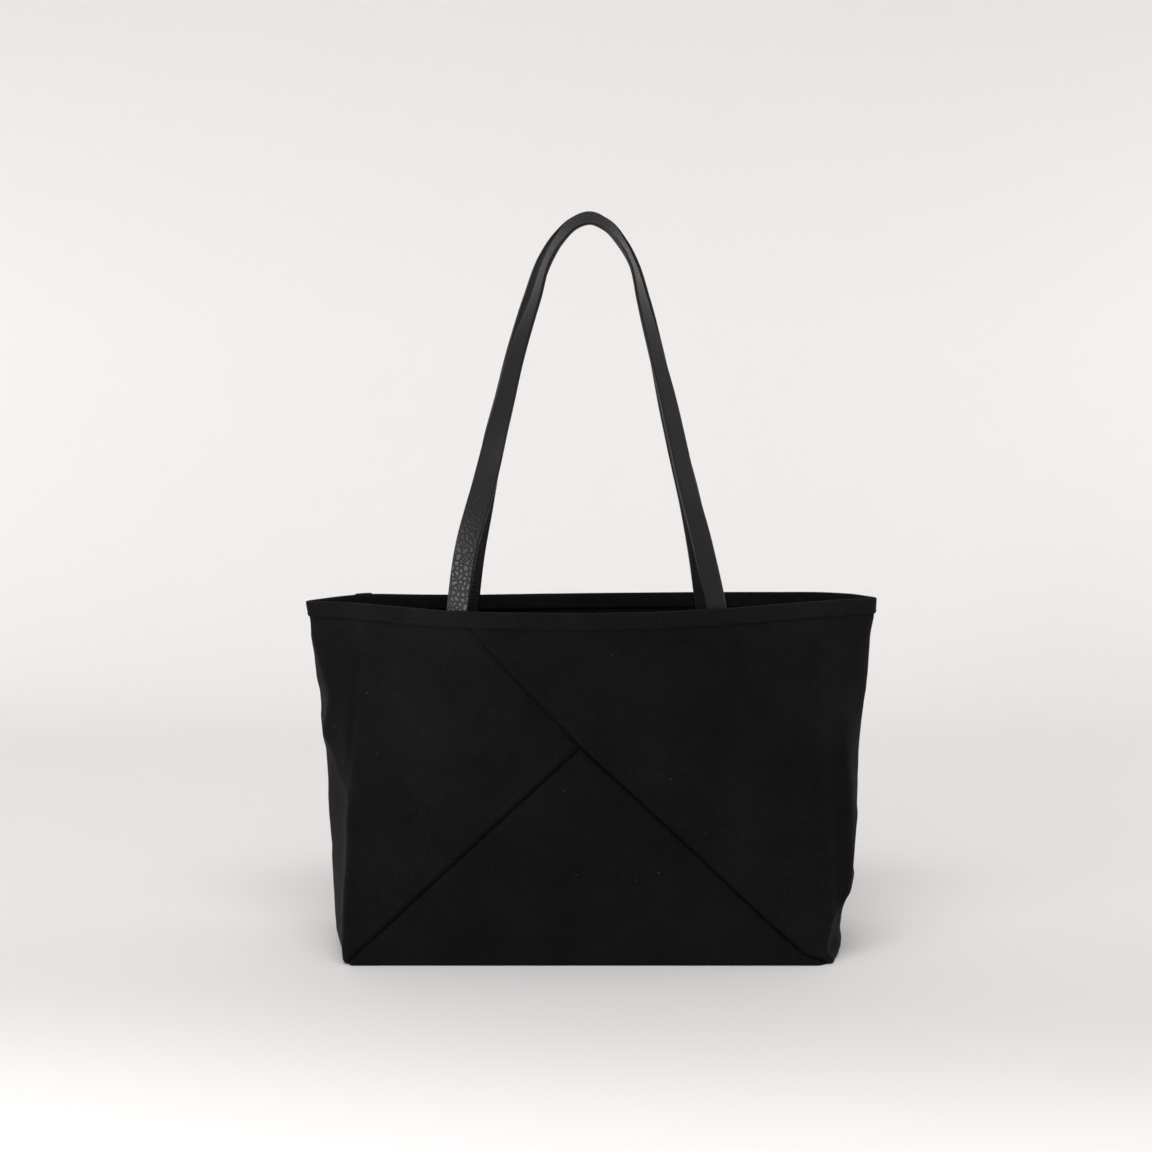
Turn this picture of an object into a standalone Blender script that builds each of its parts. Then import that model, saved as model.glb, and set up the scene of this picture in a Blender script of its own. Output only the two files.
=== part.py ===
"""Canvas tote bag: two wrapping side panels, a folded bottom panel, a bound rim and two shoulder straps.

Metres, +Z up, front at -Y. The bag stands on z = 0 and its box is centred on the origin.
A wall point is named by its girth and height. Girth is the distance round the bag from the middle of the
front, positive towards +X, and it is the same at the base and at the mouth.
"""

import math

import bmesh
import bpy
import numpy as np
from mathutils import Matrix, Vector

# Bag body
BASE_WIDTH = 0.392
BASE_DEPTH = 0.125
RIM_Z = 0.290
CANVAS = 0.0016
GAP = 0.0003
# Half of the mouth's outline, from the middle of the front, past the side tip, to the middle of the back
MOUTH_CORNERS = (
    (0.0, -0.0745),
    (0.064, -0.0725),
    (0.128, -0.052),
    (0.196, 0.006),
    (0.2395, 0.016),
    (0.203, 0.0752),
    (0.0, 0.066),
)
MOUTH_TIP = 4
BASE_ROUNDING = 0.0045
MOUTH_ROUNDING = 0.007
FLARE_POWER = 1.6
GUSSET_BULGE = 0.018
GUSSET_BULGE_SPREAD = 0.045
GUSSET_BULGE_RISE = 0.018

# The seams on the front. Those on the back are the same, turned half a turn about Z.
APEX_GIRTH = -0.005
APEX_Z = 0.179
SEAM_RIM_GIRTH = -0.094
SEAM_GAP = 0.0011
COLUMN_GAP = 0.0005
FOLD_RADIUS = 0.003
CORNER_INSET = 0.0032
SEAM_ROWS = (0.0038, 0.008, 0.018, 0.045, 0.075, 0.105, 0.135, 0.160)
SEAM_CLEARANCE = 0.004
FLOOR_ROWS = (-0.045, 0.0, 0.045)

# Rim binding
BINDING_HEIGHT = 0.0125
BINDING_CLOTH = 0.0010
BINDING_GAP = 0.0007

# Straps: half of the centre line as (x, z), from a sewn end up to the apex
STRAP_PATH = (
    (0.109, 0.247),
    (0.105, 0.290),
    (0.094, 0.338),
    (0.081, 0.394),
    (0.068, 0.446),
    (0.054, 0.498),
    (0.038, 0.556),
    (0.0255, 0.583),
    (0.0115, 0.6008),
    (0.0, 0.6053),
)
STRAP_WIDTH = 0.0195
STRAP_THICKNESS = 0.0024
STRAP_CHAMFER = 0.0005
STRAP_APEX_Y = 0.0082
STRAP_RINGS = 45
END_RINGS = 6
# Each strap folds outward about a level axis just above the rim, outside the leather by a bend's radius
FOLD_Z = 0.312
FOLD_OFFSET = 0.008
FRONT_FOOT_TWIST = math.radians(18)
BACK_FOOT_TWIST = math.radians(-3)
APEX_TWIST = math.radians(51)
TWIST_HEIGHT = 0.115

# Box stitching on the sewn ends, and the board in the base
STITCH_BOX = (0.0065, 0.0130)
STITCH_LINE = 0.0012
STITCH_CROSSING = 0.0018
STITCH_THICKNESS = 0.0005
STITCH_Z = 0.268
BOARD_THICKNESS = 0.0020
BOARD_INSET = 0.0045
BOARD_CORNER = 0.008

HALF_MM = 0.0005
QUARTER_GIRTH = (BASE_WIDTH + BASE_DEPTH) / 2
HALF_GIRTH = 2 * QUARTER_GIRTH
FRONT, BACK = -1, 1


def clear_scene():
    for obj in list(bpy.data.objects):
        bpy.data.objects.remove(obj)


def plain_material(name, colour, roughness):
    material = bpy.data.materials.new(name)
    material.use_nodes = True
    shader = material.node_tree.nodes["Principled BSDF"]
    shader.inputs["Base Color"].default_value = (*colour, 1.0)
    shader.inputs["Roughness"].default_value = roughness
    shader.inputs["Metallic"].default_value = 0.0
    return material


def distances(points):
    """How far along a line of points each one is."""
    return np.concatenate([[0], np.cumsum(np.linalg.norm(np.diff(points, axis=0), axis=1))])


def rounded_outline(corners, tip, rounding, steps=1040):
    """Half of a mirrored outline with its corners rounded, as columns of girth, x and y."""
    mirrored = [(-x, y) for x, y in corners[-2:0:-1]]
    loop = np.array([*corners, *mirrored, corners[0]])
    reach = distances(loop)
    even = np.linspace(0, reach[-1], steps, endpoint=False)
    points = np.column_stack([np.interp(even, reach, loop[:, axis]) for axis in (0, 1)])
    spread = rounding * steps / reach[-1]
    shifts = np.arange(-int(4 * spread), int(4 * spread) + 1)
    weights = np.exp(-0.5 * (shifts / spread) ** 2)
    weights /= weights.sum()
    smooth = sum(weight * np.roll(points, shift, axis=0) for shift, weight in zip(shifts, weights))
    tip_share = reach[tip] / reach[-1]
    shares = np.arange(steps // 2 + 1) / steps
    girth = np.interp(shares, [0, tip_share, 0.5], [0, QUARTER_GIRTH, HALF_GIRTH])
    return np.column_stack([girth, smooth[: steps // 2 + 1]])


BASE_CORNERS = (
    (0.0, -BASE_DEPTH / 2),
    (BASE_WIDTH / 2, -BASE_DEPTH / 2),
    (BASE_WIDTH / 2, 0.0),
    (BASE_WIDTH / 2, BASE_DEPTH / 2),
    (0.0, BASE_DEPTH / 2),
)
BASE_OUTLINE = rounded_outline(BASE_CORNERS, 2, BASE_ROUNDING)
MOUTH_OUTLINE = rounded_outline(MOUTH_CORNERS, MOUTH_TIP, MOUTH_ROUNDING)


def on_outline(outline, reach):
    return np.array([np.interp(reach, outline[:, 0], outline[:, axis]) for axis in (1, 2)])


def wall_point(girth, height):
    """A point of the wall's middle surface."""
    side, reach = math.copysign(1, girth), abs(girth)
    if reach > HALF_GIRTH:
        side, reach = -side, 2 * HALF_GIRTH - reach
    flare = (height / RIM_Z) ** FLARE_POWER
    x, y = (1 - flare) * on_outline(BASE_OUTLINE, reach) + flare * on_outline(MOUTH_OUTLINE, reach)
    fullness = (1 - math.exp(-height / GUSSET_BULGE_RISE)) * (1 - height / RIM_Z)
    x += GUSSET_BULGE * fullness * math.exp(-(((reach - QUARTER_GIRTH) / GUSSET_BULGE_SPREAD) ** 2))
    return Vector((side * x, y, height))


def beside_wall(girth, height, outward):
    """The wall point moved outward, level and square to the wall."""
    along = (wall_point(girth + HALF_MM, height) - wall_point(girth - HALF_MM, height)).normalized()
    return wall_point(girth, height) + Vector((along.y, -along.x, 0.0)) * outward


def girth_at(x, height, facing):
    """The girth on the front or the back, on the +X side, where the wall is at this x."""
    near = np.linspace(0, 0.6 * QUARTER_GIRTH, 60)
    girths = near if facing == FRONT else HALF_GIRTH - near
    return float(np.interp(x, [wall_point(girth, height).x for girth in girths], girths))


def new_mesh(name, shape):
    mesh = bpy.data.meshes.new(name)
    shape.to_mesh(mesh)
    shape.free()
    mesh.shade_smooth()
    mesh.set_sharp_from_angle(angle=math.radians(40))
    return mesh


def add_object(name, mesh, collection, material, origin=(0, 0, 0)):
    obj = bpy.data.objects.new(name, mesh)
    obj.location = origin
    obj.data.materials.append(material)
    collection.objects.link(obj)
    return obj


def cloth_panel(name, rows, collection, material):
    """A panel of canvas through rows of points. A row of one point is an apex."""
    shape = bmesh.new()
    made = [[shape.verts.new(point) for point in row] for row in rows]
    for low, high in zip(made, made[1:]):
        for column in range(max(len(low), len(high)) - 1):
            corners = ((low, column), (low, column + 1), (high, column + 1), (high, column))
            ends = [row[min(index, len(row) - 1)] for row, index in corners]
            shape.faces.new(list(dict.fromkeys(ends)))
    obj = add_object(name, new_mesh(name, shape), collection, material)
    shell = obj.modifiers.new("Canvas", "SOLIDIFY")
    shell.thickness = CANVAS
    shell.offset = 0.0
    shell.use_even_offset = True
    return obj


def loft_mesh(name, rings, closed, origin=(0, 0, 0)):
    """A solid through rings of points, either joined end to end or capped at both ends."""
    shape = bmesh.new()
    made = [[shape.verts.new(point - Vector(origin)) for point in ring] for ring in rings]
    for first, second in zip(made, made[1:] + made[:1] if closed else made[1:]):
        for here, after in zip(range(len(first)), [*range(1, len(first)), 0]):
            shape.faces.new((first[here], first[after], second[after], second[here]))
    if not closed:
        shape.faces.new(made[0])
        shape.faces.new(made[-1])
    bmesh.ops.recalc_face_normals(shape, faces=shape.faces)
    return new_mesh(name, shape)


def mouth_stations():
    """Girths from 0 to the half girth, closer together at the corners and where the mouth bends."""
    corner = BASE_WIDTH / 2
    around_corner = [step / 1000 for step in (-12, -6, 0, 6, 12)]
    front = [*np.linspace(0, 0.075, 4), *np.linspace(0.094, 0.150, 5), 0.161, 0.172]
    front += [corner + step for step in around_corner] + [0.220, 0.234]
    tip = [QUARTER_GIRTH + step / 2 for step in around_corner]
    back = [0.285, 0.299] + [HALF_GIRTH - corner + step for step in around_corner] + [0.345, 0.357]
    back += [*np.linspace(0.375, 0.423, 3), *np.linspace(0.445, HALF_GIRTH, 4)]
    return [*front, *tip, *back]


def stations_between(start, end):
    """The mouth's stations from one girth to another, with both ends and none too near them."""
    stations = mouth_stations()
    mirrored = [-girth for girth in stations]
    around = {*stations, *mirrored, *(2 * HALF_GIRTH + girth for girth in mirrored)}
    low, high = start + SEAM_CLEARANCE, end - SEAM_CLEARANCE
    return np.array([start, *(girth for girth in sorted(around) if low < girth < high), end])


def make_wrap_panel(name, side, collection, material):
    """One side panel: from the front seam, round the gusset, to the back seam."""
    under_binding = RIM_Z - BINDING_HEIGHT
    top = RIM_Z - BINDING_CLOTH - GAP
    lower = (CANVAS + 2 * GAP, *SEAM_ROWS, APEX_Z)
    upper = np.linspace(APEX_Z, under_binding, 5)[1:]
    knots = (0.0, APEX_Z, under_binding)
    offsets = (side * APEX_GIRTH, side * SEAM_RIM_GIRTH)
    front_ends = (BASE_WIDTH / 2, *offsets)
    back_ends = (HALF_GIRTH - BASE_WIDTH / 2, HALF_GIRTH + offsets[0], HALF_GIRTH + offsets[1])
    girths = stations_between(min(front_ends), max(back_ends))
    squeezed = COLUMN_GAP * np.arange(len(girths))
    rows = []
    for height in (*lower, *upper, top):
        start = np.interp(height, knots, front_ends) + SEAM_GAP / 2
        end = np.interp(height, knots, back_ends) - SEAM_GAP / 2
        row = np.clip(girths, start + squeezed, end - squeezed[::-1])
        rows.append([wall_point(side * girth, height) for girth in row])
    return cloth_panel(name, rows, collection, material)


def make_bottom_panel(name, collection, material):
    """The base, with a triangle folded up the front and one folded up the back."""
    sweep = np.linspace(-1, 1, 17)

    def wall_row(height, facing, inset=SEAM_GAP / 2):
        share = 1 - height / APEX_Z
        middle = -facing * APEX_GIRTH * (1 - share)
        girths = middle + sweep * (share * BASE_WIDTH / 2 - inset)
        if facing == BACK:
            girths = HALF_GIRTH - girths
        return [wall_point(girth, height) for girth in girths]

    def folded_up(facing):
        top = APEX_Z - SEAM_GAP
        low = SEAM_ROWS[0]
        rows = [[wall_row(top, facing)[len(sweep) // 2]]]
        rows += [wall_row(height, facing) for height in SEAM_ROWS[::-1]]
        for turn in (60, 30, 0):
            inward = FOLD_RADIUS * (1 - math.sin(math.radians(turn)))
            height = low - FOLD_RADIUS * math.cos(math.radians(turn))
            base = wall_row(0.0, facing, CORNER_INSET)
            rows.append([Vector((point.x, point.y - facing * inward, height)) for point in base])
        return rows

    reach = BASE_WIDTH / 2 - SEAM_GAP / 4
    flat = [[Vector((share * reach, y, CANVAS / 2)) for share in sweep] for y in FLOOR_ROWS]
    rows = folded_up(FRONT) + flat + folded_up(BACK)[::-1]
    return cloth_panel(name, rows, collection, material)


def make_binding(name, collection, material):
    """A folded strip over the whole rim, with the section of an upturned U."""
    inner = CANVAS / 2 + BINDING_GAP
    outer = inner + BINDING_CLOTH
    low = RIM_Z - BINDING_HEIGHT
    ledge = RIM_Z - BINDING_CLOTH
    soft = BINDING_CLOTH / 2
    section = (
        (outer, low),
        (outer, RIM_Z - soft),
        (outer - soft, RIM_Z),
        (soft - outer, RIM_Z),
        (-outer, RIM_Z - soft),
        (-outer, low),
        (-inner, low),
        (-inner, ledge),
        (inner, ledge),
        (inner, low),
    )
    stations = mouth_stations()
    girths = [*stations[:-1], *(-girth for girth in stations[:0:-1])]
    rings = [[beside_wall(girth, height, out) for out, height in section] for girth in girths]
    return add_object(name, loft_mesh(name, rings, True), collection, material)


def smooth_path(keys, steps=400):
    """A cubic curve through the key points, evenly stepped."""
    knots = distances(keys)
    slopes = np.gradient(keys, knots, axis=0)
    reach = np.linspace(0, knots[-1], steps)
    index = np.clip(np.searchsorted(knots, reach, side="right") - 1, 0, len(knots) - 2)
    span = (knots[index + 1] - knots[index])[:, None]
    t = (reach - knots[index])[:, None] / span
    start = (1 + 2 * t) * (1 - t) ** 2 * keys[index] + t * (1 - t) ** 2 * span * slopes[index]
    return start + t**2 * (3 - 2 * t) * keys[index + 1] + t**2 * (t - 1) * span * slopes[index + 1]


def foot_y(x, height, facing):
    """Where a strap's middle lies against the inside of the rim, at this x."""
    level = min(height, RIM_Z)
    away = CANVAS / 2 + BINDING_GAP + BINDING_CLOTH + GAP + STRAP_THICKNESS / 2
    girth = girth_at(abs(x), level, facing)
    wall, square = wall_point(girth, level), beside_wall(girth, level, -away)
    return wall.y + away**2 / (square.y - wall.y)


def leaning_y(facing):
    """Where a strap's middle starts to lean inward, at the height of its fold."""
    x = float(np.interp(FOLD_Z, [z for _, z in STRAP_PATH], [x for x, _ in STRAP_PATH]))
    return foot_y(x, RIM_Z, facing)


def strap_line(facing):
    """The strap's centre line, from its left sewn end over the apex to its right one."""
    left = [(-x, z) for x, z in STRAP_PATH]
    right = [(x, z) for x, z in STRAP_PATH[-2::-1]]
    path = smooth_path(np.array(left + right))
    apex_z = path[:, 1].max()
    base_y = leaning_y(facing)
    points = []
    for x, z in path:
        lean = (z - FOLD_Z) / (apex_z - FOLD_Z)
        y = base_y + (facing * STRAP_APEX_Y - base_y) * lean if lean > 0 else foot_y(x, z, facing)
        points.append((x, y, z))
    return np.array(points)


def strap_frame(line, distance, facing):
    """The strap's centre, its direction across towards the inner edge, and its face's direction."""
    reach = distances(line)

    def point_at(where):
        return Vector([np.interp(where, reach, line[:, axis]) for axis in range(3)])

    centre = point_at(distance)
    along = (point_at(distance + STRAP_THICKNESS) - point_at(distance - STRAP_THICKNESS)).normalized()
    away = Vector((0, facing, 0))
    away = (away - along * away.dot(along)).normalized()
    inner = along.cross(away) * -facing
    rise = min(max((centre.z - RIM_Z) / TWIST_HEIGHT, 0.0), 1.0)
    foot_twist = FRONT_FOOT_TWIST if facing == FRONT else BACK_FOOT_TWIST
    twist = foot_twist + (APEX_TWIST - foot_twist) * rise * rise * (3 - 2 * rise)
    across = inner * math.cos(twist) + away * math.sin(twist)
    return centre, across, along.cross(across)


def strap_rings(line, low, high, count, facing):
    """Cross-sections of the strap between two distances along it."""
    w, h, c = STRAP_WIDTH / 2, STRAP_THICKNESS / 2, STRAP_CHAMFER
    quarter = ((w, h - c), (w - c, h))
    section = [*quarter, *((-a, b) for a, b in quarter[::-1])]
    section += [(-a, -b) for a, b in section]
    rings = []
    middle, half = (low + high) / 2, (high - low) / 2
    for share in np.linspace(-1, 1, count):
        distance = middle + half * share * abs(share) ** 0.4
        centre, across, face = strap_frame(line, distance, facing)
        rings.append([centre + across * a + face * b for a, b in section])
    return rings


def distance_at(line, height):
    """How far along the strap its left leg reaches this height."""
    rising = line[: int(np.argmax(line[:, 2])) + 1]
    return float(np.interp(height, rising[:, 2], distances(rising)))


def make_box_stitch(name, line, facing, side, collection, material):
    """A sewn box with a cross in it, on the sewn end's inner face."""
    wide, tall = STITCH_BOX
    distance = distance_at(line, STITCH_Z)
    if side > 0:
        distance = distances(line)[-1] - distance
    centre, across, face = strap_frame(line, distance, facing)
    inward = face if face.y * facing < 0 else -face
    curve = bpy.data.curves.new(name, "CURVE")
    curve.dimensions = "2D"
    curve.fill_mode = "BOTH"
    curve.extrude = STITCH_THICKNESS / 2
    a, b, g = wide - STITCH_LINE, tall - STITCH_LINE, STITCH_CROSSING
    holes = [((-a, b), (a, b), (0, g)), ((-a, -b), (a, -b), (0, -g))]
    holes += [((a, b - g), (a, g - b), (g / 2, 0)), ((-a, b - g), (-a, g - b), (-g / 2, 0))]
    for outline in (((-wide, -tall), (wide, -tall), (wide, tall), (-wide, tall)), *holes):
        spline = curve.splines.new("POLY")
        spline.points.add(len(outline) - 1)
        spline.use_cyclic_u = True
        for point, (x, y) in zip(spline.points, outline):
            point.co = (x, y, 0, 1)
    lift = STRAP_THICKNESS / 2 + GAP + STITCH_THICKNESS / 2
    curve.materials.append(material)
    obj = bpy.data.objects.new(name, curve)
    obj.location = centre + inward * lift
    up = inward.cross(across)
    obj.rotation_euler = matrix_of(across, up, inward).to_euler()
    collection.objects.link(obj)
    return obj


def matrix_of(x_axis, y_axis, z_axis):
    return Matrix((x_axis, y_axis, z_axis)).transposed()


def make_straps(collection, material, thread):
    for word, facing in (("front", FRONT), ("back", BACK)):
        line = strap_line(facing)
        total = distances(line)[-1]
        bend = distance_at(line, FOLD_Z)
        pivot = (0.0, leaning_y(facing) + facing * FOLD_OFFSET, FOLD_Z)
        loop = strap_rings(line, bend + GAP, total - bend - GAP, STRAP_RINGS, facing)
        mesh = loft_mesh(f"{word}_strap", loop, False, pivot)
        add_object(f"{word}_strap", mesh, collection, material, pivot)
        for side, (low, high) in ((-1, (0.0, bend - GAP)), (1, (total - bend + GAP, total))):
            hand = "left" if side < 0 else "right"
            name = f"{word}_strap_end_{hand}"
            foot = loft_mesh(name, strap_rings(line, low, high, END_RINGS, facing), False)
            add_object(name, foot, collection, material)
            make_box_stitch(f"{word}_strap_stitching_{hand}", line, facing, side, collection, thread)


def make_base_board(name, collection, material):
    """A stiff board that keeps the base flat, lying on the bottom panel inside the bag."""
    shape = bmesh.new()
    bmesh.ops.create_cube(shape, size=1.0)
    size = (BASE_WIDTH - 2 * BOARD_INSET, BASE_DEPTH - 2 * BOARD_INSET, BOARD_THICKNESS)
    bmesh.ops.scale(shape, vec=size, verts=shape.verts)
    upright = [edge for edge in shape.edges if edge.verts[0].co.xy == edge.verts[1].co.xy]
    bmesh.ops.bevel(shape, geom=upright, offset=BOARD_CORNER, segments=5, profile=0.5, affect="EDGES")
    place = (0, 0, CANVAS + GAP + BOARD_THICKNESS / 2)
    return add_object(name, new_mesh(name, shape), collection, material, place)


def main():
    clear_scene()
    collection = bpy.data.collections.new("canvas_tote_bag")
    bpy.context.scene.collection.children.link(collection)
    canvas = plain_material("black_canvas", (0.012, 0.011, 0.012), 0.9)
    bottom = plain_material("black_canvas_bottom", (0.014, 0.013, 0.014), 0.9)
    binding = plain_material("black_binding", (0.018, 0.017, 0.018), 0.85)
    leather = plain_material("black_leather", (0.02, 0.018, 0.018), 0.45)
    thread = plain_material("black_thread", (0.03, 0.028, 0.028), 0.7)
    board = plain_material("grey_board", (0.2, 0.19, 0.18), 0.9)
    make_wrap_panel("left_side_panel", -1, collection, canvas)
    make_wrap_panel("right_side_panel", 1, collection, canvas)
    make_bottom_panel("bottom_panel", collection, bottom)
    make_binding("rim_binding", collection, binding)
    make_base_board("base_board", collection, board)
    make_straps(collection, leather, thread)


main()
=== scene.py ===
import math

import bmesh
import bpy
import numpy as np
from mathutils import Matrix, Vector, noise


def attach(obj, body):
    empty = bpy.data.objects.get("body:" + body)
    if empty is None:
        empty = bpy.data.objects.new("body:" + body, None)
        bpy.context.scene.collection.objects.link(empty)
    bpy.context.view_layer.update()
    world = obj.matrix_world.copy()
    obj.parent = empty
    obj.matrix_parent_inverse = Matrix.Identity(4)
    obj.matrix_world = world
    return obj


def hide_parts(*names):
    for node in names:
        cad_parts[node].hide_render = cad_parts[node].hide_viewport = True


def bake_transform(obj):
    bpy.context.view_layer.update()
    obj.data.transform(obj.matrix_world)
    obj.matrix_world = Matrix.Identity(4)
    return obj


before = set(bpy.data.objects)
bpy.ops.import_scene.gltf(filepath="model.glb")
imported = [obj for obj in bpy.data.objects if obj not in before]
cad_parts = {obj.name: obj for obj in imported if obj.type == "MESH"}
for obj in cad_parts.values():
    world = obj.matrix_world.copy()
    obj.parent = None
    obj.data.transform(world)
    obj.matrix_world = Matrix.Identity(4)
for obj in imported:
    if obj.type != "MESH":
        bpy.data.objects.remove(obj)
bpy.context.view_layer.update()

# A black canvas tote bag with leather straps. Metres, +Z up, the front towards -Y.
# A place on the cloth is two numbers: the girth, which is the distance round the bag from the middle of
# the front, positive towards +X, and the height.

FRONT, BACK = -1, 1

# Body
RIM_Z = 0.290
HALF_GIRTH = 0.517
QUARTER_GIRTH = HALF_GIRTH / 2
CANVAS = 0.0016
FLARE_POWER = 1.6
# Outlines run from the middle of the front past the right tip, the middle of the back and the left tip.
BASE_LOOP = (
    (0.0, -0.0640), (0.1965, -0.0640), (0.1965, 0.0), (0.1965, 0.0625),
    (0.0, 0.0625), (-0.1965, 0.0625), (-0.1965, 0.0), (-0.1965, -0.0640),
)
BASE_ANCHORS = (0, 2, 4, 6)
BASE_ROUNDING = 0.0028
MOUTH_LOOP = (
    (0.0, -0.0757), (0.049, -0.068), (0.090, -0.0515), (0.115, -0.0385), (0.177, -0.004), (0.213, 0.0155),
    (0.2478, 0.026), (0.230, 0.059), (0.204, 0.072), (0.100, 0.069),
    (0.0, 0.063), (-0.097, 0.054), (-0.140, 0.058), (-0.194, 0.0695), (-0.216, 0.048),
    (-0.2400, 0.013), (-0.200, 0.004), (-0.154, -0.0295), (-0.115, -0.0575), (-0.070, -0.0712),
)
MOUTH_ANCHORS = (0, 6, 10, 15)
MOUTH_ROUNDING = 0.0062
# How far each gusset stands out past the straight line from base to mouth: (height, distance)
LEFT_BULGE = (
    (0.0, 0.0092), (0.008, 0.0142), (0.015, 0.0164), (0.040, 0.0165), (0.072, 0.0145), (0.112, 0.0130),
    (0.150, 0.0099), (0.166, 0.0077), (0.179, 0.0085), (0.192, 0.0094), (0.214, 0.0059), (0.239, 0.0038),
    (0.257, 0.0018), (0.274, 0.0008), (0.290, 0.0),
)
RIGHT_BULGE = (
    (0.0, 0.0092), (0.006, 0.0138), (0.012, 0.0150), (0.025, 0.0125), (0.037, 0.0118), (0.052, 0.0128),
    (0.068, 0.0162), (0.091, 0.0170), (0.114, 0.0160), (0.137, 0.0138), (0.160, 0.0112), (0.180, 0.0098),
    (0.215, 0.0083), (0.239, 0.0060), (0.257, 0.0036), (0.274, 0.0028), (0.290, 0.0),
)
# The gussets: (side, bulge, how far it reaches round the bag, the power of its fading)
GUSSETS = ((1, RIGHT_BULGE, 0.056, 6), (-1, LEFT_BULGE, 0.045, 2))
# Where the front swells past its own corner: (side, girth, reach to the front, reach to the back, distance,
# and the four heights between which it comes and goes)
SWELLS = (
    (1, 0.2475, 0.036, 0.055, 0.020, (0.008, 0.060, 0.140, 0.265)),
    (-1, 0.2280, 0.024, 0.024, 0.011, (0.130, 0.180, 0.240, 0.276)),
)
# How much higher the rim stands than RIM_Z, by girth round from the middle of the front
RIM_LIFT = (
    (0.0, 0.0), (0.120, 0.0), (0.250, 0.0014), (0.420, 0.0018), (0.560, 0.0014), (0.700, 0.0004),
    (0.775, 0.0), (1.034, 0.0),
)
# The cloth's slack, as layers of noise: (rise, stretch in height, size, seed)
SLACK = ((0.0014, 1.6, 0.080, 11.0), (0.0007, 2.4, 0.042, 27.0), (0.00022, 1.3, 0.014, 5.0))
# Creases pressed into the cloth: the line as (girth, height), how far it stands out, and how wide it is
CREASES = (
    (((-0.1925, 0.012), (-0.1935, 0.085), (-0.196, 0.133), (-0.222, 0.151), (-0.239, 0.183)), 0.0024, 0.0055),
    (((-0.239, 0.183), (-0.2335, 0.205), (-0.232, 0.217), (-0.243, 0.241), (-0.2525, 0.262)), 0.0036, 0.0070),
    (((0.2385, 0.070), (0.215, 0.052), (0.193, 0.036), (0.178, 0.025), (0.174, 0.010)), 0.0034, 0.0050),
    (((0.243, 0.118), (0.2185, 0.060)), 0.0018, 0.0070),
    (((0.2400, 0.272), (0.2445, 0.232)), 0.0016, 0.0050),
    (((0.140, 0.040), (0.160, 0.022), (0.174, 0.010)), -0.0016, 0.0045),
)
CREASE_ROUNDING = 0.0008
# Dents in the cloth: (girth, height, width, height of the dent, depth)
DENTS = (
    (0.203, 0.012, 0.016, 0.012, 0.0052),
    (-0.252, 0.200, 0.009, 0.018, 0.0036),
    (-0.214, 0.232, 0.014, 0.030, 0.0020),
    (-0.180, 0.205, 0.050, 0.012, 0.0020),
    (-0.110, 0.228, 0.045, 0.010, 0.0019),
)
# Slack, creases and dents fade out over this much under the rim and above the base
FADE_UNDER_RIM, FADE_ABOVE_BASE = 0.030, 0.012
# Seams on the front as (girth, height). Those on the back are the same, half the girth further round.
APEX = (-0.006, 0.181)
LEFT_SEAM = ((-0.1965, 0.0), APEX, (-0.094, 0.2755), (-0.1075, 0.290))
RIGHT_SEAM = (
    (0.1965, 0.0), (0.188, 0.0045), (0.175, 0.0095), (0.147, 0.034), (0.082, 0.097),
    APEX, (-0.094, 0.2755), (-0.1075, 0.290),
)
# How deep the seams are rolled in, as a share, by height
SEAM_DEPTH = ((0.181, 1.0), (0.201, 0.46), (0.240, 0.42), (0.277, 0.20))
# How a panel's edge is rolled into its seams: (depth in the seam, crown beside it)
SIDE_ROLL = (0.0032, 0.0009)
BOTTOM_ROLL = (0.0042, 0.0002)
TAPE_ROLL = (0.0044, 0.0)
# How wide the roll is at the apex, and how much narrower above it
PANEL_ROLL_WIDTH = (0.0021, 0.0009)
TAPE_ROLL_WIDTH = (0.0034, 0.0012)
# How far from the seam the crown stands, and how wide it is
CROWN_GAP, CROWN_WIDTH = 0.0048, 0.0028
# How far a panel's edge stays from the seam, and where its rows of points lie from there
SEAM_INSET = 0.00012
EDGE_STEPS = (0.0, 0.0006, 0.0013, 0.0021, 0.0032, 0.0048, 0.0070, 0.0100)
# A side panel's lower edge tucks in. The bottom panel bends round to the base, which bulges at its ends.
TUCK_DEPTH, TUCK_HEIGHT = 0.0016, 0.0012
FOLD_RADIUS = 0.0014
BASE_HALF_DEPTH = 0.0625
BASE_END_BULGE = 0.0042
TAPE_WIDTH = 0.0130
TAPE_THICKNESS = 0.0005
# Binding and stitches
BINDING_HEIGHT = 0.0128
BINDING_OUT = 0.0023
BINDING_WAVE = 0.00035
# The binding's ends lap: from where to where by girth, how soon, how much thicker, how much higher
LAP = (0.7005, 0.7155)
LAP_STEP, LAP_OUT, LAP_RISE = 0.0005, 0.35, 0.0008
STITCH_PITCH = 0.0062
STITCH_LENGTH = 0.0038
THREAD_RADIUS = 0.00026
THREAD_SEAT = 0.0001
RIM_STITCH_Z = RIM_Z - BINDING_HEIGHT + 0.0022
BASE_STITCH_Z = 0.0085
BASE_STITCH_REACH = 0.154
BASE_STITCH_PITCH = STITCH_PITCH * 1.15
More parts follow.
